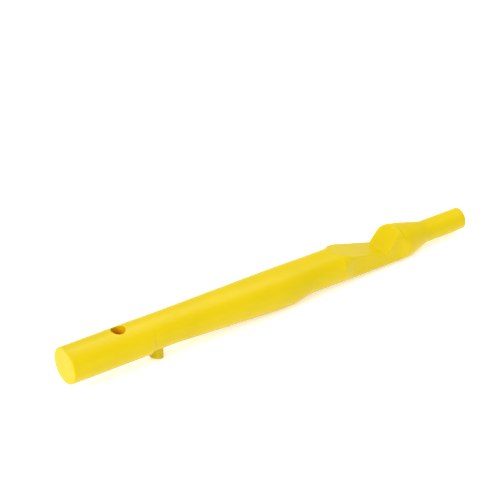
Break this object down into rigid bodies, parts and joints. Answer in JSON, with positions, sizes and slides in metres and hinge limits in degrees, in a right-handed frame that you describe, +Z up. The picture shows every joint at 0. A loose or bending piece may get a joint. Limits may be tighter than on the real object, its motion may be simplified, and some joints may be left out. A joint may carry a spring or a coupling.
{
  "type": "chain stanchion pole",
  "caption": "Yellow plastic chain stanchion pole: closed round shank with a cross hole and a sprung snap button, a swollen middle, a flat-cheeked head with a chain notch, and a slim spigot tip.",
  "frame": {"origin": "middle of the butt face, on the pole's axis", "axes": "+X along the pole from butt to tip, +Z up through the chain notch, snap button on the -Z side"},
  "size_m": [0.965, 0.0848, 0.1001],
  "materials": {
    "yellow_moulding": "smooth gloss moulding",
    "guide_plastic": "satin",
    "spring_wire": "drawn wire"
  },
  "bodies": {
    "pole": {"post_body": "yellow_moulding", "chain_head": "yellow_moulding", "butt_plug": "yellow_moulding", "tip_plug": "yellow_moulding", "cross_sleeve": "yellow_moulding", "button_cradle": "guide_plastic", "spring_seat": "guide_plastic", "button_spring": "spring_wire"},
    "button": {"snap_button": "yellow_moulding"}
  },
  "joints": [
    {"name": "button_press", "type": "slide", "parent": "pole", "child": "button", "axis": [0, 0, 1], "range_m": [0, 0.0202], "stiffness_N_per_m": 1200, "springref_m": -0.012, "deforming": ["button_spring"]}
  ]
}
